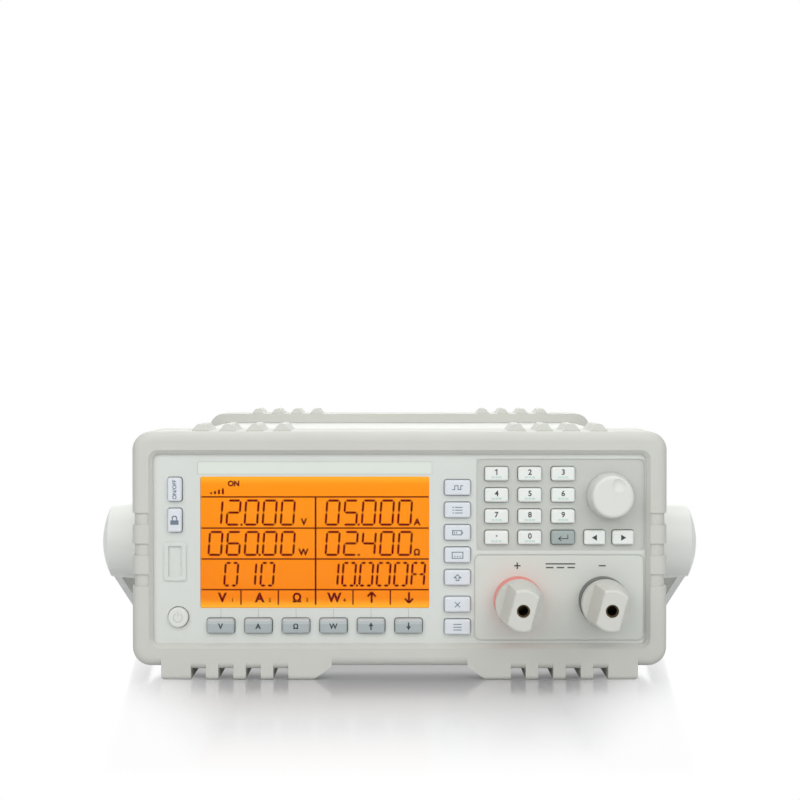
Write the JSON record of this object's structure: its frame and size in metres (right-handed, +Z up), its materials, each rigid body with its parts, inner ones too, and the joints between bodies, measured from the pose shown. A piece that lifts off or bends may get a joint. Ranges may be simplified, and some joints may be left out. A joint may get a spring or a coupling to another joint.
{
  "type": "dc electronic load",
  "caption": "Bench DC electronic load: box case between rubber bumpers, backlit display, keypad, rotary knob, two binding posts and a swinging handle.",
  "frame": {"origin": "bottom centre of the whole part: under the feet, midway between the caps of the binding posts and the rear bumper", "axes": "+X to the right seen from the front, +Y from the front panel to the rear panel, +Z up"},
  "size_m": [0.2752, 0.3968, 0.1096],
  "materials": {
    "bumper_rubber": "matte moulded rubber",
    "case_paint": "fine textured paint",
    "panel_plastic": "fine moulded grain",
    "window": "clear",
    "display": "backlit",
    "board": "solder mask",
    "knob": "satin",
    "red_plastic": "satin",
    "black_plastic": "satin",
    "brass": "turned",
    "cap_plastic": "satin",
    "dark_plastic": "satin",
    "arm_plastic": "fine moulded grain",
    "grip_rubber": "matte",
    "steel": "zinc plated",
    "green_plastic": "satin",
    "aluminium": "extruded",
    "key_white": "satin",
    "key_blue": "satin",
    "key_number": "satin"
  },
  "bodies": {
    "case": {"front_bumper": "bumper_rubber", "rear_bumper": "bumper_rubber", "chassis_tray": "case_paint", "top_cover": "case_paint", "rear_panel": "case_paint", "front_panel": "panel_plastic", "display_window": "window", "display_module": "display", "keypad_board": "board", "main_board": "board", "post_base_positive": "red_plastic", "post_base_negative": "black_plastic", "post_studs": "brass", "handle_hubs": "dark_plastic", "fan_frame": "black_plastic", "mains_inlet": "black_plastic", "serial_port": "steel", "sense_terminals": "green_plastic", "heat_sink": "aluminium", "power_transistors": "black_plastic", "case_screws": "steel"},
    "encoder_knob": {"encoder_knob": "knob"},
    "handle": {"handle_arms": "arm_plastic", "handle_grip": "grip_rubber"},
    "fan_rotor": {"fan_rotor": "black_plastic"},
    "fuse_drawer": {"fuse_drawer": "black_plastic"},
    "post_insert_positive": {"post_insert_positive": "brass"},
    "post_cap_positive": {"post_cap_positive": "cap_plastic"},
    "post_insert_negative": {"post_insert_negative": "brass"},
    "post_cap_negative": {"post_cap_negative": "cap_plastic"},
    "power_button": {"power_button": "key_number"},
    "output_key": {"output_key": "key_white"},
    "lock_key": {"lock_key": "key_white"},
    "soft_key_1": {"soft_key_1": "key_blue"},
    "soft_key_2": {"soft_key_2": "key_blue"},
    "soft_key_3": {"soft_key_3": "key_blue"},
    "soft_key_4": {"soft_key_4": "key_blue"},
    "soft_key_5": {"soft_key_5": "key_blue"},
    "soft_key_6": {"soft_key_6": "key_blue"},
    "side_key_1": {"side_key_1": "key_white"},
    "side_key_2": {"side_key_2": "key_white"},
    "side_key_3": {"side_key_3": "key_white"},
    "side_key_4": {"side_key_4": "key_white"},
    "side_key_5": {"side_key_5": "key_white"},
    "side_key_6": {"side_key_6": "key_white"},
    "side_key_7": {"side_key_7": "key_white"},
    "number_key_1": {"number_key_1": "key_number"},
    "number_key_2": {"number_key_2": "key_number"},
    "number_key_3": {"number_key_3": "key_number"},
    "number_key_4": {"number_key_4": "key_number"},
    "number_key_5": {"number_key_5": "key_number"},
    "number_key_6": {"number_key_6": "key_number"},
    "number_key_7": {"number_key_7": "key_number"},
    "number_key_8": {"number_key_8": "key_number"},
    "number_key_9": {"number_key_9": "key_number"},
    "number_key_dot": {"number_key_dot": "key_number"},
    "number_key_0": {"number_key_0": "key_number"},
    "number_key_enter": {"number_key_enter": "key_blue"},
    "arrow_key_left": {"arrow_key_left": "key_number"},
    "arrow_key_right": {"arrow_key_right": "key_number"}
  },
  "joints": [
    {"name": "power_button_press", "type": "slide", "parent": "case", "child": "power_button", "axis": [0, 1, 0], "range_m": [0, 0.0012], "stiffness_N_per_m": 900},
    {"name": "output_key_press", "type": "slide", "parent": "case", "child": "output_key", "axis": [0, 1, 0], "range_m": [0, 0.0012], "stiffness_N_per_m": 900},
    {"name": "lock_key_press", "type": "slide", "parent": "case", "child": "lock_key", "axis": [0, 1, 0], "range_m": [0, 0.0012], "stiffness_N_per_m": 900},
    {"name": "soft_key_1_press", "type": "slide", "parent": "case", "child": "soft_key_1", "axis": [0, 1, 0], "range_m": [0, 0.0012], "stiffness_N_per_m": 900},
    {"name": "soft_key_2_press", "type": "slide", "parent": "case", "child": "soft_key_2", "axis": [0, 1, 0], "range_m": [0, 0.0012], "stiffness_N_per_m": 900},
    {"name": "soft_key_3_press", "type": "slide", "parent": "case", "child": "soft_key_3", "axis": [0, 1, 0], "range_m": [0, 0.0012], "stiffness_N_per_m": 900},
    {"name": "soft_key_4_press", "type": "slide", "parent": "case", "child": "soft_key_4", "axis": [0, 1, 0], "range_m": [0, 0.0012], "stiffness_N_per_m": 900},
    {"name": "soft_key_5_press", "type": "slide", "parent": "case", "child": "soft_key_5", "axis": [0, 1, 0], "range_m": [0, 0.0012], "stiffness_N_per_m": 900},
    {"name": "soft_key_6_press", "type": "slide", "parent": "case", "child": "soft_key_6", "axis": [0, 1, 0], "range_m": [0, 0.0012], "stiffness_N_per_m": 900},
    {"name": "side_key_1_press", "type": "slide", "parent": "case", "child": "side_key_1", "axis": [0, 1, 0], "range_m": [0, 0.0012], "stiffness_N_per_m": 900},
    {"name": "side_key_2_press", "type": "slide", "parent": "case", "child": "side_key_2", "axis": [0, 1, 0], "range_m": [0, 0.0012], "stiffness_N_per_m": 900},
    {"name": "side_key_3_press", "type": "slide", "parent": "case", "child": "side_key_3", "axis": [0, 1, 0], "range_m": [0, 0.0012], "stiffness_N_per_m": 900},
    {"name": "side_key_4_press", "type": "slide", "parent": "case", "child": "side_key_4", "axis": [0, 1, 0], "range_m": [0, 0.0012], "stiffness_N_per_m": 900},
    {"name": "side_key_5_press", "type": "slide", "parent": "case", "child": "side_key_5", "axis": [0, 1, 0], "range_m": [0, 0.0012], "stiffness_N_per_m": 900},
    {"name": "side_key_6_press", "type": "slide", "parent": "case", "child": "side_key_6", "axis": [0, 1, 0], "range_m": [0, 0.0012], "stiffness_N_per_m": 900},
    {"name": "side_key_7_press", "type": "slide", "parent": "case", "child": "side_key_7", "axis": [0, 1, 0], "range_m": [0, 0.0012], "stiffness_N_per_m": 900},
    {"name": "number_key_1_press", "type": "slide", "parent": "case", "child": "number_key_1", "axis": [0, 1, 0], "range_m": [0, 0.0012], "stiffness_N_per_m": 900},
    {"name": "number_key_2_press", "type": "slide", "parent": "case", "child": "number_key_2", "axis": [0, 1, 0], "range_m": [0, 0.0012], "stiffness_N_per_m": 900},
    {"name": "number_key_3_press", "type": "slide", "parent": "case", "child": "number_key_3", "axis": [0, 1, 0], "range_m": [0, 0.0012], "stiffness_N_per_m": 900},
    {"name": "number_key_4_press", "type": "slide", "parent": "case", "child": "number_key_4", "axis": [0, 1, 0], "range_m": [0, 0.0012], "stiffness_N_per_m": 900},
    {"name": "number_key_5_press", "type": "slide", "parent": "case", "child": "number_key_5", "axis": [0, 1, 0], "range_m": [0, 0.0012], "stiffness_N_per_m": 900},
    {"name": "number_key_6_press", "type": "slide", "parent": "case", "child": "number_key_6", "axis": [0, 1, 0], "range_m": [0, 0.0012], "stiffness_N_per_m": 900},
    {"name": "number_key_7_press", "type": "slide", "parent": "case", "child": "number_key_7", "axis": [0, 1, 0], "range_m": [0, 0.0012], "stiffness_N_per_m": 900},
    {"name": "number_key_8_press", "type": "slide", "parent": "case", "child": "number_key_8", "axis": [0, 1, 0], "range_m": [0, 0.0012], "stiffness_N_per_m": 900},
    {"name": "number_key_9_press", "type": "slide", "parent": "case", "child": "number_key_9", "axis": [0, 1, 0], "range_m": [0, 0.0012], "stiffness_N_per_m": 900},
    {"name": "number_key_dot_press", "type": "slide", "parent": "case", "child": "number_key_dot", "axis": [0, 1, 0], "range_m": [0, 0.0012], "stiffness_N_per_m": 900},
    {"name": "number_key_0_press", "type": "slide", "parent": "case", "child": "number_key_0", "axis": [0, 1, 0], "range_m": [0, 0.0012], "stiffness_N_per_m": 900},
    {"name": "number_key_enter_press", "type": "slide", "parent": "case", "child": "number_key_enter", "axis": [0, 1, 0], "range_m": [0, 0.0012], "stiffness_N_per_m": 900},
    {"name": "arrow_key_left_press", "type": "slide", "parent": "case", "child": "arrow_key_left", "axis": [0, 1, 0], "range_m": [0, 0.0012], "stiffness_N_per_m": 900},
    {"name": "arrow_key_right_press", "type": "slide", "parent": "case", "child": "arrow_key_right", "axis": [0, 1, 0], "range_m": [0, 0.0012], "stiffness_N_per_m": 900},
    {"name": "knob_turn", "type": "hinge", "parent": "case", "child": "encoder_knob", "pos_m": [0.0906, -0.1666, 0.0791], "axis": [0, -1, 0], "continuous": true},
    {"name": "post_positive_lift", "type": "slide", "parent": "case", "child": "post_insert_positive", "axis": [0, -1, 0], "range_m": [0, 0.005]},
    {"name": "post_positive_turn", "type": "hinge", "parent": "post_insert_positive", "child": "post_cap_positive", "pos_m": [0.051, -0.1666, 0.0338], "axis": [0, -1, 0], "range_deg": [0, 1440]},
    {"name": "post_negative_lift", "type": "slide", "parent": "case", "child": "post_insert_negative", "axis": [0, -1, 0], "range_m": [0, 0.005]},
    {"name": "post_negative_turn", "type": "hinge", "parent": "post_insert_negative", "child": "post_cap_negative", "pos_m": [0.0876, -0.1666, 0.0338], "axis": [0, -1, 0], "range_deg": [0, 1440]},
    {"name": "handle_swing", "type": "hinge", "parent": "case", "child": "handle", "pos_m": [0, -0.1006, 0.0537], "axis": [-1, 0, 0], "range_deg": [0, 300]},
    {"name": "fan_spin", "type": "hinge", "parent": "case", "child": "fan_rotor", "pos_m": [0.045, 0.1734, 0.057], "axis": [0, 1, 0], "continuous": true},
    {"name": "fuse_drawer_slide", "type": "slide", "parent": "case", "child": "fuse_drawer", "axis": [0, 1, 0], "range_m": [0, 0.014]}
  ],
  "couplings": [
    {"joint": "post_positive_turn", "follows": "post_positive_lift", "rad_per_m": 5026},
    {"joint": "post_negative_turn", "follows": "post_negative_lift", "rad_per_m": 5026}
  ]
}
